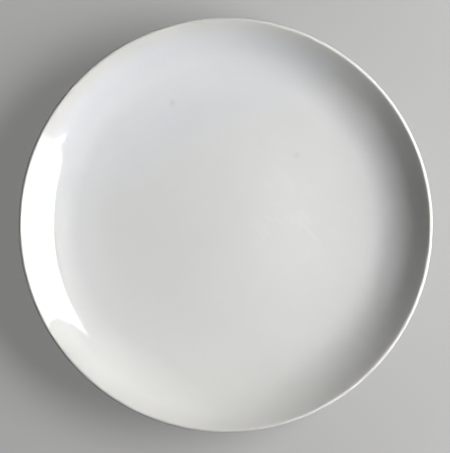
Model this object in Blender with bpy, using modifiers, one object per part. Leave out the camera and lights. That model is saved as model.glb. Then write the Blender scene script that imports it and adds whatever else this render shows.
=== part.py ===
"""Coupe salad plate: one turned porcelain body under two coats of glaze that the bare foot ring keeps apart.

Run with: blender --background --python part.py
Metres, +Z up. The origin is on the plate's axis, at the level of the table that the foot ring stands on.
"""

import math

import bpy

# Eating face: a flat well, then three arcs in one smooth run, each with a diameter and a slope at its end
PLATE_DIAMETER = 0.210
WELL_DIAMETER = 0.079
SHOULDER_DIAMETER = 0.151  # end of the slow rise around the well
SHOULDER_SLOPE = math.radians(7.6)
BEND_DIAMETER = 0.1928  # end of the turn from the floor into the wall
BEND_SLOPE = math.radians(37.0)
RIM_SLOPE = math.radians(37.5)  # where the wall runs into the lip

# Thickness of the finished plate, which grows evenly from the lip to the well
LIP_THICKNESS = 0.0021
FLOOR_THICKNESS = 0.0050

# Foot ring, over the glaze
FOOT_DIAMETER = 0.1236  # outside, at the table
FOOT_WIDTH = 0.0044
FOOT_DRAFT = math.radians(18.0)  # lean of both flanks
FOOT_FILLET = 0.0016  # where the flanks meet the back and the base
ROOT_RUN = 0.0024  # straight stretch of the back before it meets the outer flank
BASE_LEVEL = 0.0026  # height of the recessed base above the table, beside the ring
BASE_CROWN = 0.0004  # further rise of the base towards the middle
GLAZE_LINE = 0.0011  # height above the table where the glaze was wiped off
BARE_EDGE = 0.0005  # rounding of the bare foot's two edges

# Thicknesses of the skin
GLAZE_THICKNESS = 0.0003
SEAT_GAP = 0.0003  # room between the clay and the glaze fused on it
CLAY_INSET = GLAZE_THICKNESS + SEAT_GAP

# Facets
TURN_STEPS = 60
SHOULDER_STEPS = 4
BEND_STEPS = 6
FLARE_STEPS = 2
LIP_STEPS = 6
FILLET_STEPS = 3
BASE_STEPS = 2
AXIS_MERGE = 0.00001

# Worked out from the driving dimensions
WELL_RADIUS = WELL_DIAMETER / 2
WELL_LEVEL = BASE_LEVEL + FLOOR_THICKNESS
LIP_RADIUS = LIP_THICKNESS / 2
LIP_START = PLATE_DIAMETER / 2 - LIP_RADIUS * (1 + math.sin(RIM_SLOPE))
FOOT_OUTSIDE = FOOT_DIAMETER / 2
FOOT_INSIDE = FOOT_OUTSIDE - FOOT_WIDTH


def towards(start, end, distance):
    share = distance / math.dist(start, end)
    return (start[0] + (end[0] - start[0]) * share, start[1] + (end[1] - start[1]) * share)


def fillet(before, corner, after, radius):
    """Points that round a corner between two straight runs."""
    one = math.atan2(before[1] - corner[1], before[0] - corner[0])
    other = math.atan2(after[1] - corner[1], after[0] - corner[0])
    opening = math.remainder(other - one, math.tau)
    middle = one + opening / 2
    reach = radius / abs(math.sin(opening / 2))
    centre = (corner[0] + reach * math.cos(middle), corner[1] + reach * math.sin(middle))
    first = towards(corner, before, radius / abs(math.tan(opening / 2)))
    start = math.atan2(first[1] - centre[1], first[0] - centre[0])
    sweep = math.copysign(math.pi - abs(opening), -opening)
    turns = [start + sweep * i / FILLET_STEPS for i in range(FILLET_STEPS + 1)]
    return [(centre[0] + radius * math.cos(t), centre[1] + radius * math.sin(t)) for t in turns]


def inset(path, depth):
    """The path moved into the material, which lies to the right of its run, by a depth square to it."""
    moved = []
    for i, (r, z) in enumerate(path):
        ends = [path[max(i - 1, 0)], path[i], path[min(i + 1, len(path) - 1)]]
        runs = [math.atan2(b[1] - a[1], b[0] - a[0]) for a, b in zip(ends, ends[1:]) if a != b]
        half_turn = math.remainder(runs[-1] - runs[0], math.tau) / 2
        square = runs[0] + half_turn - math.pi / 2
        reach = depth / math.cos(half_turn)
        moved.append((r + reach * math.cos(square), z + reach * math.sin(square)))
    return moved


def below(station, thickness):
    """The point square under a point of the eating face, which is given with its slope."""
    r, z, slope = station
    return (r + thickness * math.sin(slope), z - thickness * math.cos(slope))


def rising_arc(start, end_radius, end_slope, steps):
    """Points of an arc with their slopes, which runs on smoothly from a point that it leaves out."""
    start_radius, start_level, start_slope = start
    radius = (end_radius - start_radius) / (math.sin(end_slope) - math.sin(start_slope))
    stations = []
    for i in range(1, steps + 1):
        slope = start_slope + (end_slope - start_slope) * i / steps
        r = start_radius + radius * (math.sin(slope) - math.sin(start_slope))
        z = start_level + radius * (math.cos(start_slope) - math.cos(slope))
        stations.append((r, z, slope))
    return stations


def wall_stations():
    """Points of the eating face with their slopes, from the edge of the well to the lip."""
    stations = [(WELL_RADIUS, WELL_LEVEL, 0.0)]
    stations += rising_arc(stations[-1], SHOULDER_DIAMETER / 2, SHOULDER_SLOPE, SHOULDER_STEPS)
    stations += rising_arc(stations[-1], BEND_DIAMETER / 2, BEND_SLOPE, BEND_STEPS)
    stations += rising_arc(stations[-1], LIP_START, RIM_SLOPE, FLARE_STEPS)
    return stations


def lip_path(start):
    """Half a circle over the lip, from the end of the wall to the start of the back, both left out."""
    centre = below(start, LIP_RADIUS)
    turns = [RIM_SLOPE + math.pi * (1 - i / LIP_STEPS) for i in range(1, LIP_STEPS)]
    return [below((*centre, turn), LIP_RADIUS) for turn in turns]


def flank(radius, side, level):
    """A point on a flank of the foot ring, which leans away from the ring as it rises."""
    return (radius + side * level * math.tan(FOOT_DRAFT), level)


def back_path(wall):
    """The back from the lip down to the foot ring, ending where its line meets the ring's outer flank."""
    back = []
    for station in reversed(wall):
        share = (LIP_START - station[0]) / (LIP_START - WELL_RADIUS)
        point = below(station, LIP_THICKNESS + (FLOOR_THICKNESS - LIP_THICKNESS) * share)
        if point[0] < FOOT_OUTSIDE + ROOT_RUN:
            break
        back.append(point)
        fall = math.tan(station[2])
    end_radius, end_level = back[-1]
    root_level = (end_level - (end_radius - FOOT_OUTSIDE) * fall) / (1 - math.tan(FOOT_DRAFT) * fall)
    return back + [flank(FOOT_OUTSIDE, 1, root_level)]


def face_path():
    """Finished surface from the middle of the well over the lip and down the back to the glaze line."""
    wall = wall_stations()
    *back, root = back_path(wall)
    glaze_end = flank(FOOT_OUTSIDE, 1, GLAZE_LINE)
    top = [(0.0, WELL_LEVEL)] + [(r, z) for r, z, _ in wall]
    return top + lip_path(wall[-1]) + back + fillet(back[-1], root, glaze_end, FOOT_FILLET) + [glaze_end]


def base_path():
    """Finished surface from the glaze line inside the foot ring to the middle of the recessed base."""
    glaze_end = flank(FOOT_INSIDE, -1, GLAZE_LINE)
    root = flank(FOOT_INSIDE, -1, BASE_LEVEL)
    radii = [root[0] * (1 - i / BASE_STEPS) for i in range(1, BASE_STEPS + 1)]
    crown = [(r, BASE_LEVEL + BASE_CROWN * (1 - (r / root[0]) ** 2)) for r in radii]
    return [glaze_end] + fillet(glaze_end, root, crown[0], FOOT_FILLET) + crown


def clay_path(face, base):
    """Section of the clay: under both glazed surfaces and bare on the foot."""
    outside = inset(face, CLAY_INSET)
    inside = inset(base, CLAY_INSET)
    outer_edge = (FOOT_OUTSIDE - CLAY_INSET / math.cos(FOOT_DRAFT), 0.0)
    inner_edge = (FOOT_INSIDE + CLAY_INSET / math.cos(FOOT_DRAFT), 0.0)
    bare = fillet(outside[-1], outer_edge, inner_edge, BARE_EDGE)
    bare += fillet(outer_edge, inner_edge, inside[0], BARE_EDGE)
    return outside + bare + inside


def material(name, colour, roughness):
    made = bpy.data.materials.new(name)
    made.use_nodes = True
    shader = made.node_tree.nodes["Principled BSDF"]
    shader.inputs["Base Color"].default_value = (*colour, 1.0)
    shader.inputs["Roughness"].default_value = roughness
    shader.inputs["Metallic"].default_value = 0.0
    return made


def turned(name, path, finish, parent, collection):
    """A solid of revolution about Z, from a section that starts and ends on the axis."""
    mesh = bpy.data.meshes.new(name)
    mesh.from_pydata([(r, 0.0, z) for r, z in path], [(i, i + 1) for i in range(len(path) - 1)], [])
    piece = bpy.data.objects.new(name, mesh)
    piece.data.materials.append(finish)
    piece.parent = parent
    collection.objects.link(piece)
    screw = piece.modifiers.new("turn", "SCREW")
    screw.axis = "Z"
    screw.angle = math.tau
    screw.steps = screw.render_steps = TURN_STEPS
    screw.use_merge_vertices = True
    screw.merge_threshold = AXIS_MERGE
    screw.use_smooth_shade = True
    return piece


def main():
    for old in list(bpy.data.objects):
        bpy.data.objects.remove(old)
    collection = bpy.data.collections.new("salad_plate")
    bpy.context.scene.collection.children.link(collection)
    table_point = bpy.data.objects.new("table_point", None)
    collection.objects.link(table_point)

    clay = material("bare_porcelain", (0.72, 0.69, 0.63), 0.7)
    glaze = material("white_glaze", (0.80, 0.80, 0.785), 0.08)
    face = face_path()
    base = base_path()
    face_coat = face + inset(face, GLAZE_THICKNESS)[::-1]
    base_coat = inset(base, GLAZE_THICKNESS)[::-1] + base
    turned("porcelain_body", clay_path(face, base), clay, table_point, collection)
    turned("face_glaze", face_coat, glaze, table_point, collection)
    turned("base_glaze", base_coat, glaze, table_point, collection)


main()
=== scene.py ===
import math
import bmesh
import bpy
from mathutils import Euler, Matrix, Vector, noise


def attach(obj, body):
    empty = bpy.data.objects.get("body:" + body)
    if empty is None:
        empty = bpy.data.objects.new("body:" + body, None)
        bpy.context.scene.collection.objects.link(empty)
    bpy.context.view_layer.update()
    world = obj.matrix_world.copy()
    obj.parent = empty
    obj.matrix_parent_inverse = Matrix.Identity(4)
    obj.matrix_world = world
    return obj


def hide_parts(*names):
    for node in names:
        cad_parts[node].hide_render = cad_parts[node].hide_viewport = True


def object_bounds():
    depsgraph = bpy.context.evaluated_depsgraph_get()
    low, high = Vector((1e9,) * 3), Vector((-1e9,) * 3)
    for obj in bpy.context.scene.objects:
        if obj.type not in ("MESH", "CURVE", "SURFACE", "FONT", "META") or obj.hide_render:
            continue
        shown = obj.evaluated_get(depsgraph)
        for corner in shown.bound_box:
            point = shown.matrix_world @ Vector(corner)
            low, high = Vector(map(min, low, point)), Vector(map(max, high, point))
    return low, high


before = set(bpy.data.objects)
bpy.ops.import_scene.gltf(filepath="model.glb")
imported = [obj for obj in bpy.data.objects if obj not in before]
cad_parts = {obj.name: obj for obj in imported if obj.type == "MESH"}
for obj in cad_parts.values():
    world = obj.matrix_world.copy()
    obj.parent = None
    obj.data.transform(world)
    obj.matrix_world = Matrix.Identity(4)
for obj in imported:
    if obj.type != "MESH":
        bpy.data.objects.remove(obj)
cadLow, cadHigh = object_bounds()
print("frame loaded, box in mm:", [round(v * 1000, 1) for v in cadHigh - cadLow])

scene = bpy.context.scene
scene.view_settings.view_transform = "Standard"


# shader maths: a Wire is a socket, and sums and products of wires add Math nodes
class Wire:
    def __init__(self, socket):
        self.socket = socket

    def node(self, kind, settings, sockets, output=0):
        tree = self.socket.id_data
        made = tree.nodes.new(kind)
        for name, value in settings.items():
            setattr(made, name, value)
        for name, value in sockets.items():
            if isinstance(value, Wire):
                tree.links.new(value.socket, made.inputs[name])
            else:
                made.inputs[name].default_value = value
        return Wire(made.outputs[output])

    def sum(self, operation, first, second):
        return self.node("ShaderNodeMath", {"operation": operation}, {0: first, 1: second})

    def __add__(self, other):
        return self.sum("ADD", self, other)

    def __radd__(self, other):
        return self.sum("ADD", other, self)

    def __sub__(self, other):
        return self.sum("SUBTRACT", self, other)

    def __rsub__(self, other):
        return self.sum("SUBTRACT", other, self)

    def __mul__(self, other):
        return self.sum("MULTIPLY", self, other)

    def __rmul__(self, other):
        return self.sum("MULTIPLY", other, self)

    def __pow__(self, other):
        return self.sum("POWER", self, other)

    def step(self, start, end):  # smooth step from 0 at start to 1 at end
        values = {"Value": self, "From Min": start, "From Max": end}
        return self.node("ShaderNodeMapRange", {"interpolation_type": "SMOOTHSTEP"}, values)

    def grain(self, size, detail=2.0, roughness=0.5):  # noise over a position, in lumps of this size
        values = {"Vector": self, "Scale": 1 / size, "Detail": detail, "Roughness": roughness}
        return self.node("ShaderNodeTexNoise", {}, values)

    def tint(self, low, high):  # a colour between two, by this mask
        ends = {name: c if isinstance(c, Wire) else (*c, 1.0) for name, c in ((6, low), (7, high))}
        return self.node("ShaderNodeMix", {"data_type": "RGBA"}, {0: self, **ends}, 2)


def newFinish(name):
    finish = bpy.data.materials.new(name)
    finish.use_nodes = True
    return finish, finish.node_tree.nodes["Principled BSDF"]


def position(shader):  # where a point of the piece is, in metres
    return Wire(shader.id_data.nodes.new("ShaderNodeTexCoord").outputs["Object"])


def axes(place):  # x, y and z of a position
    return [place.node("ShaderNodeSeparateXYZ", {}, {"Vector": place}, axis) for axis in range(3)]


def feed(shader, name, wire):
    shader.id_data.links.new(wire.socket, shader.inputs[name])


def relief(place, height, depth):  # bump of a depth in metres
    values = {"Strength": 1.0, "Distance": depth, "Height": height}
    return place.node("ShaderNodeBump", {}, values)


# finished section of the plate, in metres and radians
plate = {
    "radius": 0.105,
    "well": 0.0395,  # radius of the flat middle
    "shoulder": 0.0755,  # radius where the slow rise around the well ends
    "shoulderSlope": math.radians(7.6),
    "bend": 0.0964,  # radius where the wall has turned up
    "bendSlope": math.radians(37.0),
    "rimSlope": math.radians(37.5),
    "lip": 0.0021,  # thickness, with a round edge
    "floor": 0.005,  # thickness at the edge of the well
    "glaze": 0.0003,  # thickness
    "glazeBite": 1.02,  # the underside of a coat lies this much deeper, so that no gap shows
}
foot = {
    "outside": 0.0618,  # radius at the table
    "inside": 0.0574,
    "draft": math.radians(18.0),
    "fillet": 0.0016,
    "rootRun": 0.0024,  # straight stretch of the back before the ring
    "base": 0.0026,  # level of the recessed base
    "crown": 0.0004,
    "glazeLine": 0.0011,  # level where the glaze was wiped off
    "bareEdge": 0.0005,
}
plate["level"] = foot["base"] + plate["floor"]
plate["lipStart"] = plate["radius"] - plate["lip"] / 2 * (1 + math.sin(plate["rimSlope"]))

# steps around the axis and along each stretch of the section
facets = {
    "turn": 256,
    "well": 12,
    "shoulder": 14,
    "bend": 32,
    "flare": 10,
    "lip": 24,
    "fillet": 8,
    "base": 14,
    "merge": 0.000001,  # points closer than this in metres become one
}


def under(station, depth):  # the point square under a point that comes with its slope
    r, z, slope = station
    return (r + depth * math.sin(slope), z - depth * math.cos(slope))


def around(centre, radius, slope):  # the point of a round edge where it has this slope
    return (centre[0] - radius * math.sin(slope), centre[1] + radius * math.cos(slope))


def risingArc(start, endRadius, endSlope, steps):  # stations of an arc that runs on smoothly from one
    startRadius, startLevel, startSlope = start
    radius = (endRadius - startRadius) / (math.sin(endSlope) - math.sin(startSlope))
    stations = []
    for i in range(1, steps + 1):
        slope = startSlope + (endSlope - startSlope) * i / steps
        r = startRadius + radius * (math.sin(slope) - math.sin(startSlope))
        z = startLevel + radius * (math.cos(startSlope) - math.cos(slope))
        stations.append((r, z, slope))
    return stations


def fillet(before, corner, after, radius):  # rounds a corner between two straight runs
    towardsBefore = (Vector(before) - Vector(corner)).normalized()
    towardsAfter = (Vector(after) - Vector(corner)).normalized()
    half = towardsBefore.angle(towardsAfter) / 2
    centre = Vector(corner) + (towardsBefore + towardsAfter).normalized() * radius / math.sin(half)
    first = (Vector(corner) + towardsBefore * radius / math.tan(half) - centre).normalized()
    last = (Vector(corner) + towardsAfter * radius / math.tan(half) - centre).normalized()
    shares = [i / facets["fillet"] for i in range(facets["fillet"] + 1)]
    return [tuple(centre + first.slerp(last, share) * radius) for share in shares]


def inset(path, depth):  # the path moved square to itself, to the right of its run
    moved = []
    runs = [(Vector(b) - Vector(a)).normalized() for a, b in zip(path, path[1:])]
    for point, behind, ahead in zip(path, runs[:1] + runs, runs + runs[-1:]):
        along = (behind + ahead).normalized()
        reach = depth / along.dot(ahead)
        moved.append((point[0] + along.y * reach, point[1] - along.x * reach))
    return moved


def flank(radius, side, level):  # a flank of the foot ring leans away from it as it rises
    return (radius + side * level * math.tan(foot["draft"]), level)


def wallStations():
    stations = [(plate["well"], plate["level"], 0.0)]
    stations += risingArc(stations[-1], plate["shoulder"], plate["shoulderSlope"], facets["shoulder"])
    stations += risingArc(stations[-1], plate["bend"], plate["bendSlope"], facets["bend"])
    stations += risingArc(stations[-1], plate["lipStart"], plate["rimSlope"], facets["flare"])
    return stations


def facePath():  # well, wall, lip and back, down to the glaze line
    wall = wallStations()
    well = [(plate["well"] * i / facets["well"], plate["level"]) for i in range(facets["well"])]
    lipCentre = under(wall[-1], plate["lip"] / 2)
    lipSlopes = [plate["rimSlope"] - math.pi * i / facets["lip"] for i in range(1, facets["lip"])]
    lip = [around(lipCentre, plate["lip"] / 2, slope) for slope in lipSlopes]
    back = []
    for station in reversed(wall):
        share = (plate["lipStart"] - station[0]) / (plate["lipStart"] - plate["well"])
        point = under(station, plate["lip"] + (plate["floor"] - plate["lip"]) * share)
        if point[0] < foot["outside"] + foot["rootRun"]:
            break
        back.append(point)
        fall = math.tan(station[2])
    rootLevel = back[-1][1] - (back[-1][0] - foot["outside"]) * fall
    root = flank(foot["outside"], 1, rootLevel / (1 - math.tan(foot["draft"]) * fall))
    end = flank(foot["outside"], 1, foot["glazeLine"])
    top = well + [station[:2] for station in wall] + lip
    return top + back + fillet(back[-1], root, end, foot["fillet"]) + [end]


def basePath():  # from the glaze line inside the ring to the middle of the base
    end = flank(foot["inside"], -1, foot["glazeLine"])
    root = flank(foot["inside"], -1, foot["base"])
    radii = [root[0] * (1 - i / facets["base"]) for i in range(1, facets["base"] + 1)]
    crown = [(r, foot["base"] + foot["crown"] * (1 - (r / root[0]) ** 2)) for r in radii]
    return [end] + fillet(end, root, crown[0], foot["fillet"]) + crown


# kiln warp: the rim is a hair oval and rides up and down a little, and the glaze is never quite even
warp = {
    "oval": 0.00011,  # longer from front to back
    "rim": 0.00012,
    "turn": 0.7,  # radians to the first high side
    "ripple": 0.00003,
    "rippleSize": 0.018,
}


def settle(point):  # how far the warp moves a point of the plate
    r = math.hypot(point.x, point.y)
    share = max(0.0, (r - foot["outside"]) / (plate["radius"] - foot["outside"])) ** 2
    turn = math.atan2(point.y, point.x)
    outward = -warp["oval"] * share * math.cos(2 * turn)
    rim = warp["rim"] * share * math.cos(2 * turn - warp["turn"])
    ripple = warp["ripple"] * noise.noise(Vector((point.x, point.y, plate["radius"])) / warp["rippleSize"])
    lift = rim + ripple * min(1.0, point.z / foot["base"])  # the foot stays flat
    return Vector((outward * math.cos(turn), outward * math.sin(turn), lift))


def turnPiece(name, path, finish, node):  # spins a section about the plate's axis and warps it
    bm = bmesh.new()
    verts = [bm.verts.new((r, 0.0, z)) for r, z in path]
    edges = [bm.edges.new(pair) for pair in zip(verts, verts[1:])]
    bmesh.ops.spin(bm, geom=verts + edges, cent=(0, 0, 0), axis=(0, 0, 1), angle=math.tau,
                   steps=facets["turn"], use_merge=True)
    bmesh.ops.remove_doubles(bm, verts=bm.verts, dist=facets["merge"])
    bmesh.ops.recalc_face_normals(bm, faces=bm.faces)
    for vert in bm.verts:
        vert.co += settle(vert.co)
    mesh = bpy.data.meshes.new(name)
    bm.to_mesh(mesh)
    bm.free()
    mesh.shade_smooth()
    mesh.materials.append(finish)
    piece = bpy.data.objects.new(name, mesh)
    scene.collection.objects.link(piece)
    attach(piece, "root")
    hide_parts(node)
    print(name, "made,", len(mesh.polygons), "faces")


# clear gloss glaze over white porcelain, with painted light: a cool and a warm tint, and a whiter ring in
# the bend
whiteGlaze = {
    "white": (0.746, 0.746, 0.730),
    # painted light: the cool tint stands in for cooler light falling on the upper left side
    "paintedCoolLight": (0.734, 0.742, 0.758),
    "paintedCoolSide": (0.038, 0.070),  # painted cool light: it turns cool between these, towards the upper left
    "paintedCoolLean": 0.5,  # how much of that is to the left
    # painted light: the warm tint stands in for warmer light falling on the front side
    "paintedWarmLight": (0.747, 0.743, 0.713),
    "paintedWarmSide": (-0.045, -0.090),  # painted warm light: warm between these, towards the front
    "patchSize": 0.05,  # both edges are uneven
    "patchReach": 0.03,
    "paintedLightRing": (0.795, 0.80, 0.805),  # painted light: a whiter ring in the bend, a little to one side, where the wall catches more light
    "paintedRingShare": 0.5,
    "paintedRingPlace": (0.004, 0.0),
    "paintedRingInside": (0.060, 0.076),
    "paintedRingOutside": (0.094, 0.084),
    "paintedRingFront": (-0.06, 0.0),  # the painted ring fades out towards the front
    "thin": (0.70, 0.692, 0.66),  # where it ran thin over the lip
    "thinFrom": 0.0115,  # in from the edge
    "speck": (0.50, 0.50, 0.50),
    "specks": ((-0.0272, 0.0626, 0.30), (0.0364, 0.0358, 0.20)),  # place, and share of that colour
    "speckSize": 0.0026,  # soft, because they lie under the glaze
    "faceOnly": (0.001, 0.0005),  # specks and wipe marks end between these depths under the well
    "film": (0.80, 0.79, 0.775),  # dried wipe marks
    "filmShare": 0.5,
    "filmPlace": (0.034, 0.002),
    "filmSize": 0.030,
    "filmCore": 0.006,  # full inside this radius
    "filmStreak": 0.008,  # width of a streak
    "filmGrain": (5.0, 0.6),  # detail and roughness of the noise
    "filmCut": (0.5, 0.62),
    "filmStretch": (2.2, 1.0, 1.0),
    "filmTurn": math.radians(-47),
    "gloss": 0.03,  # roughness where it is clean
    "smear": 0.04,  # more where it is handled
    "smearSize": 0.02,
    "smearDetail": 4.0,
    "smearCut": (0.55, 0.75),
    "peel": 0.0000015,  # depth of the finest ripples
    "peelSize": 0.004,
    "refraction": 1.5,
    "glow": 0.0022,  # how far light spreads in the porcelain under it
}


def fromSpot(x, y, spot, start, end):  # mask from 0 to 1 between two distances from a spot of the face
    return (((x - spot[0]) ** 2.0 + (y - spot[1]) ** 2.0) ** 0.5).step(start, end)


def makeGlaze():
    finish, shader = newFinish("whiteGlaze")
    place = position(shader)
    x, y, z = axes(place)
    wander = (place.grain(whiteGlaze["patchSize"]) - 0.5) * whiteGlaze["patchReach"]  # noise runs about 0.5
    # painted light: cool tint towards the upper left and warm tint towards the front, with uneven edges
    paintedCoolLight = (y - x * whiteGlaze["paintedCoolLean"] + wander).step(*whiteGlaze["paintedCoolSide"])
    paintedWarmLight = (y + wander).step(*whiteGlaze["paintedWarmSide"])
    colour = paintedWarmLight.tint(paintedCoolLight.tint(whiteGlaze["white"], whiteGlaze["paintedCoolLight"]), whiteGlaze["paintedWarmLight"])
    # painted light: a whiter ring in the bend, less at the front
    middle = whiteGlaze["paintedRingPlace"]
    paintedRing = fromSpot(x, y, middle, *whiteGlaze["paintedRingInside"])
    paintedRing = paintedRing * fromSpot(x, y, middle, *whiteGlaze["paintedRingOutside"])
    paintedRing = paintedRing * y.step(*whiteGlaze["paintedRingFront"]) * whiteGlaze["paintedRingShare"]
    colour = paintedRing.tint(colour, whiteGlaze["paintedLightRing"])
    r = (x * x + y * y) ** 0.5
    thin = r.step(plate["radius"] - whiteGlaze["thinFrom"], plate["radius"])
    colour = thin.tint(colour, whiteGlaze["thin"])
    onFace = z.step(*(plate["level"] - depth for depth in whiteGlaze["faceOnly"]))
    for *spot, share in whiteGlaze["specks"]:
        speck = fromSpot(x, y, spot, whiteGlaze["speckSize"], 0.0) * onFace * share
        colour = speck.tint(colour, whiteGlaze["speck"])
    lie = {"Rotation": (0.0, 0.0, whiteGlaze["filmTurn"]), "Scale": whiteGlaze["filmStretch"]}
    wiped = place.node("ShaderNodeMapping", {"vector_type": "TEXTURE"}, {"Vector": place, **lie})
    streaks = wiped.grain(whiteGlaze["filmStreak"], *whiteGlaze["filmGrain"]).step(*whiteGlaze["filmCut"])
    spread = fromSpot(x, y, whiteGlaze["filmPlace"], whiteGlaze["filmSize"], whiteGlaze["filmCore"])
    film = streaks * spread * onFace
    feed(shader, "Base Color", (film * whiteGlaze["filmShare"]).tint(colour, whiteGlaze["film"]))
    handled = place.grain(whiteGlaze["smearSize"], whiteGlaze["smearDetail"])
    smear = handled.step(*whiteGlaze["smearCut"]) + film
    feed(shader, "Roughness", smear * whiteGlaze["smear"] + whiteGlaze["gloss"])
    feed(shader, "Normal", relief(place, place.grain(whiteGlaze["peelSize"]), whiteGlaze["peel"]))
    shader.inputs["IOR"].default_value = whiteGlaze["refraction"]
    shader.subsurface_method = "BURLEY"
    shader.inputs["Subsurface Weight"].default_value = 1.0
    shader.inputs["Subsurface Radius"].default_value = (1.0, 1.0, 1.0)
    shader.inputs["Subsurface Scale"].default_value = whiteGlaze["glow"]
    return finish


# unglazed porcelain of the foot ring
bareClay = {
    "pale": (0.74, 0.715, 0.66),
    "dark": (0.66, 0.63, 0.57),
    "grainSize": 0.0004,
    "grainDetail": 3.0,
    "grainDepth": 0.00003,
    "rubbed": (0.42, 0.41, 0.40),  # grey from tables and other plates
    "rubShare": 0.6,
    "rubSize": 0.006,
    "rubGrain": (5.0, 0.65),  # detail and roughness of the noise
    "rubCut": (0.52, 0.7),
    "rubReach": 0.0004,  # up from the table
    "matte": 0.75,  # roughness where it isn't rubbed
    "polish": 0.25,  # less where it is
}


def makeClay():
    finish, shader = newFinish("bareClay")
    place = position(shader)
    z = axes(place)[2]
    grain = place.grain(bareClay["grainSize"], bareClay["grainDetail"])
    colour = grain.tint(bareClay["dark"], bareClay["pale"])
    rub = place.grain(bareClay["rubSize"], *bareClay["rubGrain"]).step(*bareClay["rubCut"])
    rub = rub * z.step(bareClay["rubReach"], 0.0)
    feed(shader, "Base Color", (rub * bareClay["rubShare"]).tint(colour, bareClay["rubbed"]))
    feed(shader, "Roughness", bareClay["matte"] - rub * bareClay["polish"])
    feed(shader, "Normal", relief(place, grain, bareClay["grainDepth"]))
    return finish


glazeFinish = makeGlaze()
clayFinish = makeClay()
print("finishes made")

face = facePath()
base = basePath()
seat = plate["glaze"]
clayFace = inset(face, seat)
clayBase = inset(base, seat)
faceUnder = inset(face, seat * plate["glazeBite"])[::-1]
baseUnder = inset(base, seat * plate["glazeBite"])[::-1]
outerEdge = (foot["outside"] - seat / math.cos(foot["draft"]), 0.0)
innerEdge = (foot["inside"] + seat / math.cos(foot["draft"]), 0.0)
bareFoot = fillet(clayFace[-1], outerEdge, innerEdge, foot["bareEdge"])
bareFoot += fillet(outerEdge, innerEdge, clayBase[0], foot["bareEdge"])

turnPiece("face_coat", face + faceUnder, glazeFinish, "face_glaze")
turnPiece("base_coat", baseUnder + base, glazeFinish, "base_glaze")
turnPiece("clay_body", clayFace + bareFoot + clayBase, clayFinish, "porcelain_body")


def seen(tree):  # 1 where the camera, a gloss or glass looks at it, and 0 for light on surfaces
    path = tree.nodes.new("ShaderNodeLightPath")
    rays = ("Is Camera Ray", "Is Glossy Ray", "Is Transmission Ray")
    camera, gloss, glass = (Wire(path.outputs[ray]) for ray in rays)
    return camera + gloss + glass


# pale floor
floorLook = {
    "colour": (0.27, 0.27, 0.267),
    "lift": (0.20, 0.20, 0.198),  # keeps the shadow from going black
    "half": 6.0,
    "roughness": 0.9,
    "shine": 0.1,
}


def layFloor():
    bm = bmesh.new()
    bmesh.ops.create_grid(bm, x_segments=1, y_segments=1, size=floorLook["half"])
    mesh = bpy.data.meshes.new("floor")
    bm.to_mesh(mesh)
    bm.free()
    finish, shader = newFinish("floorPaint")
    shader.inputs["Base Color"].default_value = (*floorLook["colour"], 1.0)
    shader.inputs["Roughness"].default_value = floorLook["roughness"]
    shader.inputs["Specular IOR Level"].default_value = floorLook["shine"]
    feed(shader, "Emission Color", seen(finish.node_tree).tint((0.0, 0.0, 0.0), floorLook["lift"]))
    shader.inputs["Emission Strength"].default_value = 1.0
    mesh.materials.append(finish)
    floor = bpy.data.objects.new("floor", mesh)
    scene.collection.objects.link(floor)


# one large soft panel to the right, lying nearly flat, with its near edge cut to points
panel = {
    "place": (0.988, -0.0035, 0.597),
    "corners": (
        (-0.49, 0.07), (-0.393, 0.523), (-0.355, 0.48), (-0.15, 0.517),
        (0.22, 0.62), (0.60, 0.662), (0.60, -0.664), (0.16, -0.667),
        (-0.222, -0.446), (-0.295, -0.393), (-0.24, -0.345), (-0.485, -0.11),
    ),
    "tip": math.radians(0.7),
    "turn": math.radians(11.4),
    "colour": (1.0, 1.0, 1.0),
    "strength": 12.4,
}
surround = {"colour": (0.15, 0.15, 0.15)}  # grey where it is seen, but it throws no light


def hangPanel():
    bm = bmesh.new()
    bm.faces.new([bm.verts.new((x, y, 0.0)) for x, y in panel["corners"]])
    mesh = bpy.data.meshes.new("softPanel")
    bm.to_mesh(mesh)
    bm.free()
    finish, shader = newFinish("panelCloth")
    shader.inputs["Base Color"].default_value = (0.0, 0.0, 0.0, 1.0)
    shader.inputs["Emission Color"].default_value = (*panel["colour"], 1.0)
    shader.inputs["Emission Strength"].default_value = panel["strength"]
    mesh.materials.append(finish)
    lamp = bpy.data.objects.new("softPanel", mesh)
    lamp.location = panel["place"]
    lamp.rotation_euler = Euler((panel["tip"], 0.0, panel["turn"]))
    lamp.visible_camera = False
    scene.collection.objects.link(lamp)


def lightScene():
    hangPanel()
    world = bpy.data.worlds.new("surround")
    world.use_nodes = True
    air = world.node_tree.nodes["Background"]
    feed(air, "Color", seen(world.node_tree).tint((0.0, 0.0, 0.0), surround["colour"]))
    scene.world = world


# camera straight over the plate
view = {
    "height": 1.2,  # over the rim
    "frame": 0.2293,  # height of the picture at the rim
    "aside": (-0.00034, -0.0007),  # from the plate's axis
}


def placeCamera():
    data = bpy.data.cameras.new("overhead")
    data.lens = data.sensor_width * view["height"] / view["frame"]
    camera = bpy.data.objects.new("overhead", data)
    camera.location = (*view["aside"], cadHigh.z + view["height"])
    scene.collection.objects.link(camera)
    scene.camera = camera


layFloor()
lightScene()
placeCamera()
print("floor, light and camera placed")
